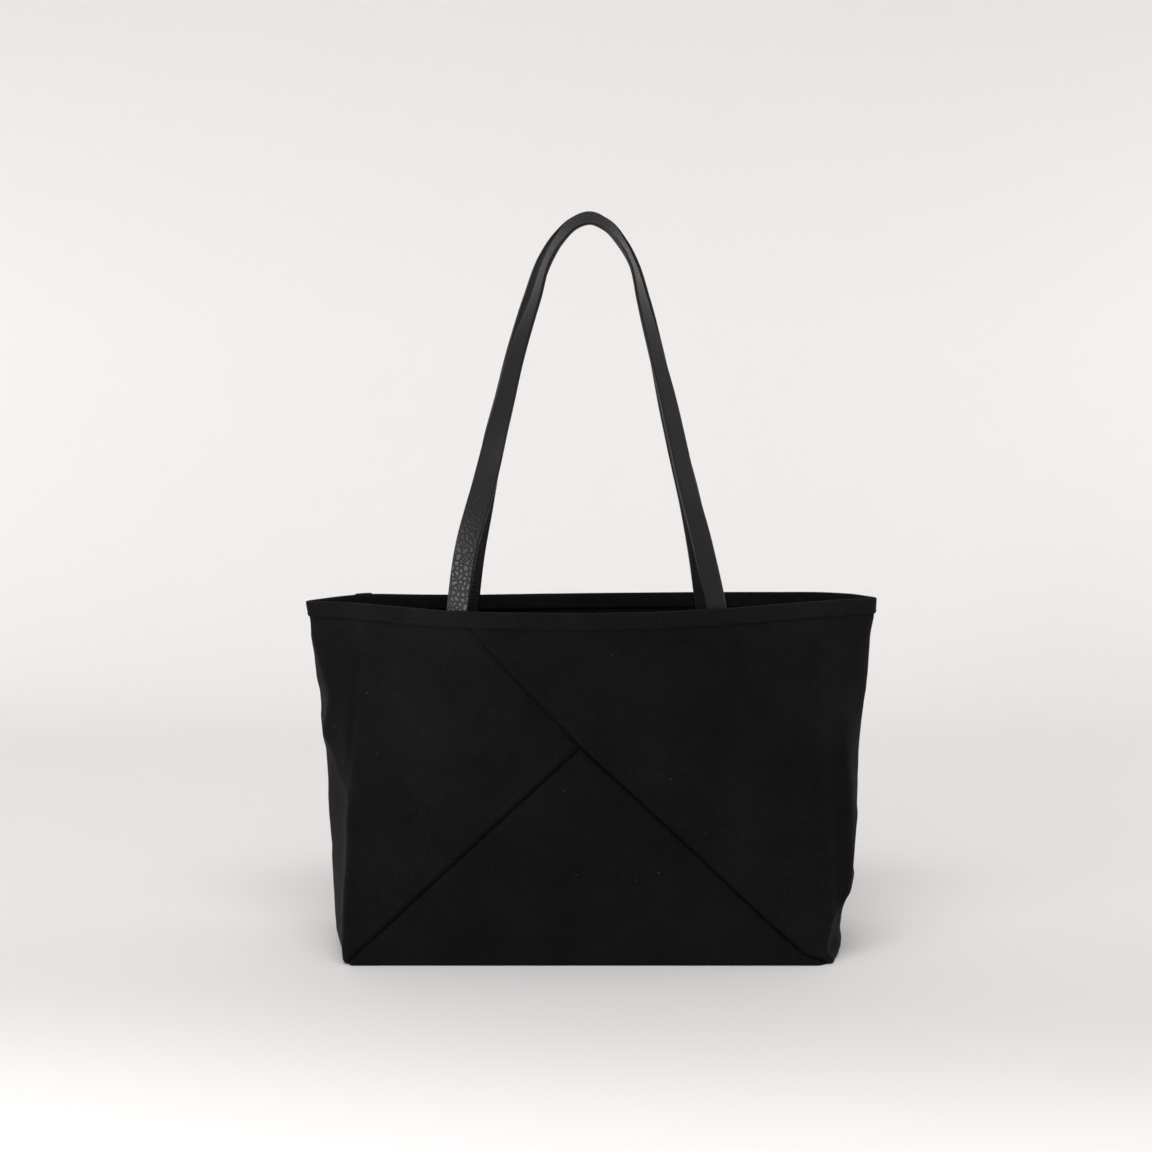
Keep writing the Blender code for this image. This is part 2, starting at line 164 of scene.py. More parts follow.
# Straps: the centre line as (x, z), with the twist in degrees, from the left sewn end to the right one
FRONT_STRAP = (
    (-0.109, 0.247, 24), (-0.105, 0.290, 24), (-0.098, 0.338, 17), (-0.083, 0.393, 11),
    (-0.071, 0.442, 32), (-0.0565, 0.499, 49), (-0.043, 0.539, 66), (-0.0325, 0.572, 72),
    (-0.0228, 0.5885, 68), (-0.011, 0.6013, 60), (0.0016, 0.6053, 56), (0.0140, 0.6000, 62),
    (0.0262, 0.5862, 72), (0.0350, 0.5695, 76), (0.0435, 0.539, 66), (0.0540, 0.499, 54),
    (0.0680, 0.442, 43), (0.079, 0.393, 40), (0.093, 0.338, 33), (0.1035, 0.290, 30),
    (0.107, 0.247, 30),
)
BACK_STRAP = (
    (-0.107, 0.247, 6), (-0.103, 0.290, 6), (-0.098, 0.330, 5), (-0.092, 0.362, 8),
    (-0.081, 0.420, 25), (-0.0715, 0.458, 38), (-0.0605, 0.500, 46), (-0.0475, 0.5415, 52),
    (-0.0350, 0.5745, 58), (-0.0238, 0.5915, 64), (-0.011, 0.6033, 68), (0.0016, 0.6070, 71),
    (0.0148, 0.602, 70), (0.0285, 0.587, 72), (0.0385, 0.5700, 74), (0.0475, 0.5415, 66),
    (0.0573, 0.500, 56), (0.067, 0.458, 46), (0.0766, 0.420, 36), (0.091, 0.362, 10),
    (0.097, 0.330, 0), (0.1026, 0.290, -4), (0.1066, 0.247, -4),
)
STRAP_ROWS = 560
STRAP_WIDTH = 0.0195
STRAP_THICKNESS = 0.0025
STRAP_GAP = 0.0002
STRAP_APEX_Y = 0.0090
STRAP_RIPPLE = 0.0006
# A degree of twist counts as this much length in a strap's curve
TWIST_LENGTH = 0.0002
# A strap folds at FOLD_Z, and bends from FOLD_START to FOLD_END
FOLD_Z = 0.312
# Its rows of points are this many times closer together within the first height of FOLD_Z
FOLD_CROWDING, CROWDED = 4.0, (0.011, 0.016)
# The share of its rise in which a strap comes into its lean
LEAN_EASE = 0.3
# The sewn box on each strap end: half its width and height, and where its middle is
STITCH_BOX = (0.0066, 0.0130)
STITCH_Z = 0.266
BOX_STITCH_LENGTH = 0.0026
BOX_STITCH_PITCH = 0.0031


def distances(points):
    """How far along a line of points each one is."""
    return np.concatenate([[0], np.cumsum(np.linalg.norm(np.diff(points, axis=0), axis=1))])


def rounded_loop(corners, anchors, rounding, steps=2068):
    """A closed outline with rounded corners, as columns of girth, x and y."""
    loop = np.array([*corners, corners[0]])
    reach = distances(loop)
    even = np.linspace(0, reach[-1], steps, endpoint=False)
    points = np.column_stack([np.interp(even, reach, loop[:, axis]) for axis in (0, 1)])
    spread = rounding * steps / reach[-1]
    shifts = np.arange(-int(4 * spread), int(4 * spread) + 1)
    weights = np.exp(-0.5 * (shifts / spread) ** 2)
    weights /= weights.sum()
    smooth = sum(weight * np.roll(points, shift, axis=0) for shift, weight in zip(shifts, weights))
    knots = [*(reach[index] for index in anchors), reach[-1]]
    girth = np.interp(even, knots, np.arange(5) * QUARTER_GIRTH)
    return np.column_stack([girth, smooth])


BASE = rounded_loop(BASE_LOOP, BASE_ANCHORS, BASE_ROUNDING)
MOUTH = rounded_loop(MOUTH_LOOP, MOUTH_ANCHORS, MOUTH_ROUNDING)


def on_loop(loop, girth, axis):
    """The x (1) or y (2) of an outline at each girth."""
    return np.interp(girth, loop[:, 0], loop[:, axis], period=2 * HALF_GIRTH)


def table(height, rows):
    """The value at each height, from rows of (height, value)."""
    return np.interp(height, [row[0] for row in rows], [row[1] for row in rows])


def round_trip(girth):
    """The same girth between -HALF_GIRTH and HALF_GIRTH."""
    return (girth + HALF_GIRTH) % (2 * HALF_GIRTH) - HALF_GIRTH


def wall(girth, height):
    """Points of the cloth's middle surface before creases."""
    girth, height = np.broadcast_arrays(np.asarray(girth, float), np.asarray(height, float))
    flare = (np.clip(height, 0, None) / RIM_Z) ** FLARE_POWER
    x, y = ((1 - flare) * on_loop(BASE, girth, axis) + flare * on_loop(MOUTH, girth, axis) for axis in (1, 2))
    for side, bulge, reach, power in GUSSETS:
        away = np.abs(round_trip(girth - side * QUARTER_GIRTH))
        x = x + side * table(height, bulge) * np.exp(-((away / reach) ** power))
    for side, centre, ahead, behind, distance, (low, full, fade, high) in SWELLS:
        away = side * round_trip(girth - side * centre)
        share = np.clip((height - low) / (full - low), 0, 1) * np.clip((high - height) / (high - fade), 0, 1)
        share = share * share * (3 - 2 * share)
        y = y - distance * share * np.exp(-((away / np.where(away < 0, ahead, behind)) ** 4))
    lift = table(girth % (2 * HALF_GIRTH), RIM_LIFT) * (np.clip(height, 0, None) / RIM_Z) ** 4
    return np.stack([x, y, height + lift], axis=-1)


def level_step(girth, height, step):
    """Along the cloth at one height, from a step before each place to a step after it."""
    return wall(girth + step, height) - wall(girth - step, height)


def level_normal(girth, height):
    """The level direction out of the cloth at each place."""
    along = level_step(girth, height, 0.0008)
    normal = np.stack([along[..., 1], -along[..., 0], np.zeros_like(along[..., 0])], axis=-1)
    return normal / np.linalg.norm(normal, axis=-1, keepdims=True)


def line_distance(girth, height, line):
    """The distance on the cloth from each point to a line of (girth, height) points."""
    nearest = np.full(girth.shape, 1.0)
    for (g0, z0), (g1, z1) in zip(line, line[1:]):
        run, rise = g1 - g0, z1 - z0
        share = np.clip(((girth - g0) * run + (height - z0) * rise) / (run**2 + rise**2), 0, 1)
        nearest = np.minimum(nearest, np.hypot(girth - g0 - share * run, height - z0 - share * rise))
    return nearest


def soft_noise(girth, height, scale, seed):
    """Smooth noise between about -1 and 1 that joins up round the bag."""
    points = wall(girth, height) / scale
    flat = points.reshape(-1, 3)
    values = [noise.noise(Vector(point) + Vector((seed, 0, 0))) for point in flat]
    return np.array(values).reshape(girth.shape)


def relief(girth, height):
    """How far creases, dents and slack move the cloth outward."""
    turn = round_trip(girth)
    out = sum(rise * soft_noise(girth, height * stretch, size, seed) for rise, stretch, size, seed in SLACK)
    for line, rise, width in CREASES:
        near = np.hypot(line_distance(turn, height, line), CREASE_ROUNDING)
        out += rise * np.exp(-near / width)
    for at_girth, at_height, wide, tall, depth in DENTS:
        out -= depth * np.exp(-(((turn - at_girth) / wide) ** 2) - ((height - at_height) / tall) ** 2)
    under_rim = np.clip((RIM_Z - height) / FADE_UNDER_RIM, 0, 1)
    above_base = np.clip(height / FADE_ABOVE_BASE, 0, 1)
    return out * (under_rim * above_base)


def seam_roll(gap, depth, crown, width):
    """The section of a cloth edge that turns down into a seam, by the distance from it."""
    return crown * np.exp(-(((gap - CROWN_GAP) / CROWN_WIDTH) ** 2)) - depth * np.exp(-((gap / width) ** 2))


def seam_gap(girth, height, shift):
    """The distance on the cloth to the nearest seam of the front, or of the back with a shift."""
    at = round_trip(girth - shift)
    return np.minimum(line_distance(at, height, LEFT_SEAM), line_distance(at, height, RIGHT_SEAM))


def roll_width(height, at_apex, narrower):
    """How wide a seam's roll is, which gets narrower just above the apex."""
    return at_apex - narrower * np.clip((height - APEX[1]) / 0.02, 0, 1)


def cloth_point(girth, height, depth, crown):
    """Points of a panel's outer face, with its edges rolled into the seams."""
    gap = np.minimum(seam_gap(girth, height, 0.0), seam_gap(girth, height, HALF_GIRTH))
    width = roll_width(height, *PANEL_ROLL_WIDTH)
    roll = seam_roll(gap, depth * table(height, SEAM_DEPTH), crown, width)
    out = CANVAS / 2 + relief(girth, height) + roll
    return wall(girth, height) + level_normal(girth, height) * out[..., None]


def spaced(start, end, count, margins):
    """Places from start to end: close together by both ends, even in between."""
    room = min(1.0, (end - start) / (4 * margins[-1]))
    low = start + room * np.array(margins)
    high = end - room * np.array(margins[::-1])
    middle = np.linspace(low[-1], high[0], count)[1:-1]
    return np.concatenate([low, middle, high])


def grid_object(name, points, coordinates, closed=None):
    """A mesh through a grid of points, with a UV map in metres. A closed one joins its last column to
    its first, which lies this much further on in the map."""
    rows, columns = points.shape[:2]
    mesh = bpy.data.meshes.new(name)
    index = np.arange(rows * columns).reshape(rows, columns)
    if closed is not None:
        index = np.concatenate([index, index[:, :1]], axis=1)
        coordinates = np.concatenate([coordinates, coordinates[:, :1] + closed], axis=1)
    corners = (index[:-1, :-1], index[:-1, 1:], index[1:, 1:], index[1:, :-1])
    faces = np.stack([corner.ravel() for corner in corners], axis=1)
    mesh.from_pydata(points.reshape(-1, 3).tolist(), [], faces.tolist())
    layer = mesh.uv_layers.new(name="UVMap")
    places = (coordinates[:-1, :-1], coordinates[:-1, 1:], coordinates[1:, 1:], coordinates[1:, :-1])
    layer.data.foreach_set("uv", np.stack([place.reshape(-1, 2) for place in places], axis=1).ravel())
    mesh.shade_smooth()
    obj = bpy.data.objects.new(name, mesh)
    bpy.context.scene.collection.objects.link(obj)
    return obj


def dress(obj, material, body, *nodes):
    """Give a piece its material, the body it rides and the nodes it stands for."""
    obj.data.materials.append(material)
    if body:
        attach(obj, body)
    if nodes:
        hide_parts(*nodes)


def thicken(obj, thickness, offset):
    """Give a sheet its thickness, inward (-1) or outward (1) of its normals."""
    shell = obj.modifiers.new("Thickness", "SOLIDIFY")
    shell.thickness = thickness
    shell.offset = offset
    return obj


def seam_girth(seam, height):
    """Where a seam is at a height."""
    return float(np.interp(height, [z for _, z in seam], [g for g, _ in seam]))


def side_panel(name, side):
    """A side panel: from one seam, round the gusset, to the other seam."""
    heights = np.concatenate([[0.0004, 0.0012, 0.0024, 0.0042], np.linspace(0.007, 0.2885, 96)])
    rows = []
    for height in heights:
        left, right = seam_girth(LEFT_SEAM, height), seam_girth(RIGHT_SEAM, height)
        start, end = (right, left + HALF_GIRTH) if side > 0 else (right - HALF_GIRTH, left)
        rows.append(spaced(start + SEAM_INSET, end - SEAM_INSET, 175, EDGE_STEPS))
    girth = np.array(rows)
    height = np.repeat(heights[:, None], girth.shape[1], axis=1)
    points = cloth_point(girth, height, *SIDE_ROLL)
    tuck = TUCK_DEPTH * np.exp(-height / TUCK_HEIGHT)
    points -= level_normal(girth, height) * tuck[..., None]
    coordinates = np.stack([girth, height], axis=-1)
    obj = grid_object(name, points, coordinates)
    return thicken(obj, CANVAS, -1.0)


def bottom_panel(name):
    """The base with a triangle up the front and one up the back."""
    heights = np.concatenate([[APEX[1] - 0.0006], np.linspace(APEX[1] - 0.0030, FOLD_RADIUS, 60)])

    def triangle(shift):
        rows = []
        for height in heights:
            left, right = seam_girth(LEFT_SEAM, height), seam_girth(RIGHT_SEAM, height)
            girth = spaced(left + SEAM_INSET, right - SEAM_INSET, 84, EDGE_STEPS) + shift
            rows.append(girth[::-1] if shift else girth)
        girth = np.array(rows)
        return cloth_point(girth, np.repeat(heights[:, None], girth.shape[1], axis=1), *BOTTOM_ROLL)

    front, back = triangle(0.0), triangle(HALF_GIRTH)
    turns = [math.radians(turn) for turn in (25, 50, 75, 90)]
    bends = [(FOLD_RADIUS * (1 - math.cos(turn)), FOLD_RADIUS * math.sin(turn)) for turn in turns]
    flat_front = [front[-1] + np.array([0, inward, -drop]) for inward, drop in bends]
    flat_back = [back[-1] + np.array([0, -inward, -drop]) for inward, drop in bends]
    low_front, low_back = flat_front[-1], flat_back[-1]
    middle = [low_front + (low_back - low_front) * share for share in np.linspace(0, 1, 34)[1:-1]]
    points = np.array([*front, *flat_front, *middle, *flat_back[::-1], *back[::-1]])
    inside = slice(len(heights) + 2, len(points) - len(heights) - 2)
    half = np.abs(points[inside, :, 0]).max(axis=1, keepdims=True)
    bulge = BASE_END_BULGE * (1 - (points[inside, :, 1] / BASE_HALF_DEPTH) ** 2)
    points[inside, :, 0] *= 1 + np.clip(bulge, 0, None) / half
    along = distances(points[:, points.shape[1] // 2])
    along -= along[-1] / 2
    coordinates = np.stack([points[..., 0], np.repeat(along[:, None], points.shape[1], axis=1)], axis=-1)
    obj = grid_object(name, points, coordinates)
    return thicken(obj, CANVAS, 1.0)


def seam_tape(name, seam, shift, lift):
    """A narrow strip over the inside of a seam, from the base to the binding."""
    line = np.array([point for point in seam if point[1] < RIM_Z - BINDING_HEIGHT])
    reach = distances(line)
    steps = np.linspace(0.004, reach[-1], 130)
    middle = np.column_stack([np.interp(steps, reach, line[:, axis]) for axis in (0, 1)])
    along = np.gradient(middle, steps, axis=0)
    along /= np.linalg.norm(along, axis=1, keepdims=True)
    offsets = np.linspace(-TAPE_WIDTH / 2, TAPE_WIDTH / 2, 15)
    girth = middle[:, :1] - along[:, 1:] * offsets
    height = np.clip(middle[:, 1:] + along[:, :1] * offsets, 0.003, None)
    depth, crown = TAPE_ROLL
    width = roll_width(height, *TAPE_ROLL_WIDTH)
    roll = seam_roll(seam_gap(girth, height, 0.0), depth * table(height, SEAM_DEPTH), crown, width)
    out = relief(girth + shift, height) - CANVAS / 2 - lift + roll
    points = wall(girth + shift, height) + level_normal(girth + shift, height) * out[..., None]
    coordinates = np.stack(np.broadcast_arrays(steps[:, None], offsets[None]), axis=-1)
    return thicken(grid_object(name, points, coordinates), TAPE_THICKNESS, -1.0)


def rim_binding(name):
    """A folded strip over the whole rim, round at its top, rolled at its lower edges and lapped once."""
    edges = [end + step for end in LAP for step in (-0.0006, -0.0003, 0.0, 0.0003, 0.0006)]
    girth = np.sort([*np.linspace(0, 2 * HALF_GIRTH, 420, endpoint=False), *edges])
    lap = np.clip((girth - LAP[0]) / LAP_STEP, 0, 1) * np.clip((LAP[1] - girth) / LAP_STEP, 0, 1)
    # The section from its outer lower edge to its inner one: (distance inward, share of the height)
    out = BINDING_OUT
    face = [(-out * 0.30, -1.0), (-out * 0.62, -1.02), (-out * 0.95, -0.98), (-out * 1.04, -0.90)]
    face += [(-out * 1.0, share) for share in (-0.75, -0.55, -0.35, -0.20)]
    turns = np.linspace(0.35, math.pi - 0.35, 7)
    top = [(-out * math.cos(turn), -0.10 + 0.10 * math.sin(turn)) for turn in turns]
    section = np.array([*face, *top, *((-a, b) for a, b in face[::-1])])
    angles = girth / HALF_GIRTH * math.pi
    wave = [noise.noise(Vector((math.cos(angle) * 9, math.sin(angle) * 9, 3.0))) for angle in angles]
    wave = BINDING_WAVE * np.array(wave)
    rows = []
    for away, drop in section:
        height = RIM_Z + drop * BINDING_HEIGHT + wave * (drop < -0.5) * 1.6 + LAP_RISE * lap
        pucker = 0.00012 * np.cos(girth / STITCH_PITCH * 2 * math.pi) * (drop < -0.6)
        offset = away * (1 + wave * 180 + LAP_OUT * lap) - np.sign(away) * pucker
        rows.append(wall(girth, height) - level_normal(girth, height) * offset[..., None])
    points = np.array(rows).transpose(1, 0, 2)
    lengths = distances(section * np.array([1, BINDING_HEIGHT]))
    coordinates = np.stack(np.meshgrid(girth, lengths, indexing="ij"), axis=-1)
    closed_points = np.concatenate([points, points[:1]])
    closed_places = np.concatenate([coordinates, coordinates[:1] + np.array([2 * HALF_GIRTH, 0])])
    return grid_object(name, closed_points, closed_places)


def stitches(name, places, length=STITCH_LENGTH):
    """Short threads, sunk in at both ends. A place is a centre, a direction along and one outward."""
    shape = bmesh.new()
    shares = (-0.5, -0.36, 0.0, 0.36, 0.5)
    for centre, along, out in places:
        centre, along, out = Vector(centre), Vector(along).normalized(), Vector(out).normalized()
        side = along.cross(out)
        rings = []
        for share in shares:
            lift = THREAD_RADIUS * (0.75 - 7.0 * abs(share) ** 3)
            width = THREAD_RADIUS * (1.0 if abs(share) < 0.4 else 0.6)
            middle = centre + along * share * length + out * lift
            rings.append([shape.verts.new(middle + (side * math.cos(a) + out * math.sin(a)) * width)
                          for a in np.linspace(0, 2 * math.pi, 6, endpoint=False)])
        for first, second in zip(rings, rings[1:]):
            for here, after in zip(range(6), (1, 2, 3, 4, 5, 0)):
                shape.faces.new((first[here], first[after], second[after], second[here]))
        shape.faces.new(rings[0][::-1])
        shape.faces.new(rings[-1])
    bmesh.ops.recalc_face_normals(shape, faces=shape.faces)
    mesh = bpy.data.meshes.new(name)
    shape.to_mesh(mesh)
    shape.free()
    mesh.shade_smooth()
    obj = bpy.data.objects.new(name, mesh)
    bpy.context.scene.collection.objects.link(obj)
    return obj


def rim_stitch_places(side):
    """A row along the binding, outside (1) or inside (-1)."""
    count = int(2 * HALF_GIRTH / STITCH_PITCH)
    girth = (np.arange(count) + 0.5) * 2 * HALF_GIRTH / count
    height = np.full(count, RIM_STITCH_Z)
    normal = level_normal(girth, height)
    points = wall(girth, height) + normal * side * (BINDING_OUT + THREAD_SEAT)
    return list(zip(points, level_step(girth, height, 0.001), normal * side))


def base_stitch_places(shift):
    """A row just above the base, on the front, or on the back with a shift."""
    girth = np.arange(-BASE_STITCH_REACH, BASE_STITCH_REACH, BASE_STITCH_PITCH) + shift
    height = np.full(girth.shape, BASE_STITCH_Z)
    points = cloth_point(girth, height, *BOTTOM_ROLL)
    return list(zip(points, level_step(girth, height, 0.001), level_normal(girth, height)))


def smooth_path(keys, steps=600):
    """A cubic curve through the key points, evenly stepped."""
    knots = distances(keys)
    slopes = np.gradient(keys, knots, axis=0)
    reach = np.linspace(0, knots[-1], steps)
    index = np.clip(np.searchsorted(knots, reach, side="right") - 1, 0, len(knots) - 2)
    span = (knots[index + 1] - knots[index])[:, None]
    t = (reach - knots[index])[:, None] / span
    start = (1 + 2 * t) * (1 - t) ** 2 * keys[index] + t * (1 - t) ** 2 * span * slopes[index]
    return start + t**2 * (3 - 2 * t) * keys[index + 1] + t**2 * (t - 1) * span * slopes[index + 1]


def foot(x, height, facing):
    """How far back a strap's middle lies where it is against the inside of the bag."""
    level = min(height, RIM_Z)
    middle = 0.0 if facing == FRONT else HALF_GIRTH
    girths = middle + np.linspace(-0.16, 0.16, 161)
    line = wall(girths, np.full(girths.shape, level))
    order = np.argsort(line[:, 0])
    girth = float(np.interp(x, line[order, 0], girths[order]))
    step = level_step(girth, level, 0.004)
    slant = math.atan2(step[1], step[0])
    away = BINDING_OUT + STRAP_GAP + STRAP_THICKNESS / 2
    return float(wall(girth, level)[1]) - facing * away / abs(math.cos(slant))


def strap_line(facing):
    """The strap's centre line as points, with the twist at each."""
    path = smooth_path(np.array(FRONT_STRAP if facing == FRONT else BACK_STRAP) * (1, 1, TWIST_LENGTH))
    top = path[:, 1].max()
    fold_y = {}
    for side in (-1, 1):
        half = path[path[:, 0] * side > 0]
        half = half[np.argsort(half[:, 1])]
        fold_y[side] = foot(float(np.interp(FOLD_Z, half[:, 1], half[:, 0])), RIM_Z, facing)
    points = []
    for x, z, _ in path:
        lean = (z - FOLD_Z) / (top - FOLD_Z)
        if lean > 0:
            start = fold_y[-1 if x < 0 else 1]
            eased = lean**2 / (2 * LEAN_EASE) if lean < LEAN_EASE else lean - LEAN_EASE / 2
            y = start + (facing * STRAP_APEX_Y - start) * eased / (1 - LEAN_EASE / 2)
        else:
            y = foot(x, z, facing)
        points.append((x, y, z))
    return np.array(points), np.radians(path[:, 2] / TWIST_LENGTH)


def strap_section():
    """The outline of the leather across a strap: crowned faces and round edges."""
    w, h = STRAP_WIDTH / 2, STRAP_THICKNESS / 2
    turns = np.linspace(0, math.pi / 2, 5)
    edge = [(w - h * 0.75 + h * 0.75 * math.cos(turn), h * math.sin(turn)) for turn in turns]
    face = [(w * share, h * (1.0 + 0.06 * (1 - share**2))) for share in (0.8, 0.5, 0.2)]
    quarter = edge + face
    half = quarter + [(-a, b) for a, b in quarter[::-1]]
    return np.array(half + [(-a, -b) for a, b in half[1:-1]])


SECTION = strap_section()
SECTION_GIRTHS = distances(np.vstack([SECTION, SECTION[:1]]))


def strap_frames(facing):
    """Places along a strap, closer together by the fold: how far along, the centre, and the
    directions along the strap, across it and out of its face."""
    line, twists = strap_line(facing)
    total = distances(line)
    crowding = np.interp(np.abs(line[:, 2] - FOLD_Z), CROWDED, (FOLD_CROWDING, 1.0))
    measure = np.concatenate([[0], np.cumsum(np.diff(total) * (crowding[1:] + crowding[:-1]) / 2)])
    steps = np.interp(np.linspace(0, measure[-1], STRAP_ROWS), measure, total)
    centres = np.column_stack([np.interp(steps, total, line[:, axis]) for axis in range(3)])
    twist = np.interp(steps, total, twists)[:, None]
    along = np.gradient(centres, steps, axis=0)
    along /= np.linalg.norm(along, axis=1, keepdims=True)
    away = np.array([0, facing, 0]) - along * (along[:, 1] * facing)[:, None]
    away /= np.linalg.norm(away, axis=1, keepdims=True)
    inner = np.cross(along, away) * -facing
    across = inner * np.cos(twist) + away * np.sin(twist)
    return steps, centres, along, across, np.cross(along, across)


def strap(name, facing):
    """One length of leather from sewn end to sewn end."""
    steps, centres, _, across, face = strap_frames(facing)
    ripple = np.array([noise.noise(Vector((step * 24, facing * 5.0, 1.5))) for step in steps]) * STRAP_RIPPLE
    points = centres[:, None] + across[:, None] * SECTION[None, :, :1]
    points = points + face[:, None] * (SECTION[None, :, 1:] + ripple[:, None, None])
    coordinates = np.stack(np.meshgrid(steps, SECTION_GIRTHS[:-1], indexing="ij"), axis=-1)
    obj = grid_object(name, points, coordinates, closed=np.array([0, SECTION_GIRTHS[-1]]))
    shape = bmesh.new()
    shape.from_mesh(obj.data)
    bmesh.ops.holes_fill(shape, edges=[edge for edge in shape.edges if edge.is_boundary])
    bmesh.ops.recalc_face_normals(shape, faces=shape.faces)
    shape.to_mesh(obj.data)
    shape.free()
    return obj


def box_stitch_places(facing, side):
    """A sewn box with a cross in it, on the inner face of a sewn end."""
    _, centres, along, across, face = strap_frames(facing)
    half = centres[:, 0] * side > 0
    index = np.flatnonzero(half)[np.argmin(np.abs(centres[half, 2] - STITCH_Z))]
    inward = face[index] * (-1 if face[index][1] * facing > 0 else 1)
    origin = centres[index] + inward * (STRAP_THICKNESS / 2 + THREAD_SEAT)
    wide, tall = STITCH_BOX
    corners = [(-wide, -tall), (wide, -tall), (wide, tall), (-wide, tall)]
    lines = [*zip(corners, corners[1:] + corners[:1]), (corners[0], corners[2]), (corners[1], corners[3])]
    places = []
    for start, end in lines:
        start, end = (origin + across[index] * a + along[index] * b for a, b in (start, end))
        count = round(float(np.linalg.norm(end - start)) / BOX_STITCH_PITCH)
        for share in (np.arange(count) + 0.5) / count:
            places.append((start + (end - start) * share, end - start, inward))
    return places


# Materials

BLACK_CLOTH = (0.0023, 0.0022, 0.0022)
LINT = (0.11, 0.10, 0.095)
LINT_CELLS = 105.0
LEATHER_PLAIN = (0.012, 0.011, 0.011)
# Leather colours: the dark one sits in the pebbles' valleys, on the painted edges and where the pebbles are
# worn, and the light one on the pebbles' tops. The darker valleys are painted shade and the lighter tops are
# painted light.
LEATHER_DARK, LEATHER_LIGHT = (0.0024, 0.0023, 0.0023), (0.0060, 0.0056, 0.0054)
PEBBLE_CELLS = 235.0
# By the distance along a strap: its pebbles wear smooth over the first stretch, come back over the
# second and wear smooth again over the third. WORN_PEBBLE is how much of them stays.
WORN_FROM, WORN_TO, WORN_AGAIN = (0.085, 0.150), (0.36, 0.30), (0.44, 0.50)
WORN_PEBBLE = 0.22
# How far round from the middle of a strap's edge the paint ends
EDGE_PAINT = (0.0011, 0.0021)
THREAD_BLACK = (0.0115, 0.0108, 0.0106)
FLOOR_COLOUR = (0.84, 0.825, 0.82)


def new_material(name, colour, roughness):
    material = bpy.data.materials.new(name)
    material.use_nodes = True
    tree = material.node_tree
    shader = tree.nodes["Principled BSDF"]
    shader.inputs["Base Color"].default_value = (*colour, 1)
    shader.inputs["Roughness"].default_value = roughness
    return material, tree, shader


def add(tree, kind, settings=(), **inputs):
    """A node with its settings and inputs. An input is a value or another node's output."""
    node = tree.nodes.new(kind)
    for key, value in dict(settings).items():
        setattr(node, key, value)
    for key, value in inputs.items():
        socket = node.inputs[int(key[1:])] if key[0] == "i" and key[1:].isdigit() else node.inputs[key]
        if isinstance(value, bpy.types.NodeSocket):
            tree.links.new(value, socket)
        else:
            socket.default_value = value
    return node


def math_node(tree, operation, first, second=0.5):
    """The result of an operation on one or two values."""
    return add(tree, "ShaderNodeMath", {"operation": operation}, i0=first, i1=second).outputs[0]


def ramp(tree, value, low, high, out_low=0.0, out_high=1.0):
    """A value from low to high, turned into one from out_low to out_high and held at both ends."""
    node = add(tree, "ShaderNodeMapRange", {}, i0=value, i1=low, i2=high, i3=out_low, i4=out_high)
    return node.outputs[0]


def mix_colour(tree, share, first, second):
    """A colour between two, each a fixed colour or another node's output."""
    node = tree.nodes.new("ShaderNodeMix")
    node.data_type = "RGBA"
    for index, value in ((0, share), (6, first), (7, second)):
        if isinstance(value, bpy.types.NodeSocket):
            tree.links.new(value, node.inputs[index])
        else:
            node.inputs[index].default_value = value if index == 0 else (*value, 1)
    return node.outputs[2]


def bump(tree, shader, height, strength, distance):
    node = add(tree, "ShaderNodeBump", {}, Strength=strength, Distance=distance, Height=height)
    tree.links.new(node.outputs[0], shader.inputs["Normal"])


def uv_place(tree):
    node = tree.nodes.new("ShaderNodeUVMap")
    node.uv_map = "UVMap"
    return node.outputs[0]


def canvas_material(name, dark, light, weave, strength):
    """Plain-woven cotton: threads both ways, uneven yarns, patches of tone and a little lint."""
    material, tree, shader = new_material(name, dark, 0.9)
    shader.inputs["Specular IOR Level"].default_value = 0.075
    shader.inputs["Sheen Weight"].default_value = 0.026
    shader.inputs["Sheen Roughness"].default_value = 0.45
    uv = uv_place(tree)
    split = add(tree, "ShaderNodeSeparateXYZ", {}, i0=uv)
    threads = []
    for axis in (0, 1):
        turn = math_node(tree, "MULTIPLY", split.outputs[axis], 2 * math.pi / weave)
        threads.append(math_node(tree, "SINE", turn))
    crossing = math_node(tree, "MULTIPLY", threads[0], threads[1])
    slubs = []
    for stretch in ((60, 1500, 1), (1500, 60, 1)):
        place = add(tree, "ShaderNodeMapping", {}, i0=uv, i3=stretch).outputs[0]
        slubs.append(add(tree, "ShaderNodeTexNoise", {}, Vector=place, Scale=1.0, Detail=2.0).outputs[0])
    yarn = math_node(tree, "ADD", slubs[0], slubs[1])
    height = math_node(tree, "ADD", math_node(tree, "MULTIPLY", crossing, 0.12), yarn)
    bump(tree, shader, height, strength, 0.0004)
    place = tree.nodes.new("ShaderNodeTexCoord").outputs["Object"]
    patches = add(tree, "ShaderNodeTexNoise", {}, Vector=place, Scale=14.0, Detail=5.0, Roughness=0.6).outputs[0]
    tone = ramp(tree, patches, 0.35, 0.68, 0.0, 0.7)
    share = math_node(tree, "ADD", tone, ramp(tree, yarn, 0.8, 1.25, 0.0, 0.5))
    colour = mix_colour(tree, share, dark, light)
    cells = add(tree, "ShaderNodeTexVoronoi", {"feature": "F1"}, Vector=place, Scale=LINT_CELLS)
    near = ramp(tree, cells.outputs["Distance"], 0.040, 0.070, 1.0, 0.0)
    chance = add(tree, "ShaderNodeSeparateColor", {}, i0=cells.outputs["Color"]).outputs[0]
    chosen = ramp(tree, chance, 0.86, 1.00, 0.0, 0.50)
    colour = mix_colour(tree, math_node(tree, "MULTIPLY", near, chosen), colour, LINT)
    tree.links.new(colour, shader.inputs["Base Color"])
    tree.links.new(ramp(tree, yarn, 0.6, 1.4, 0.96, 0.82), shader.inputs["Roughness"])
    return material


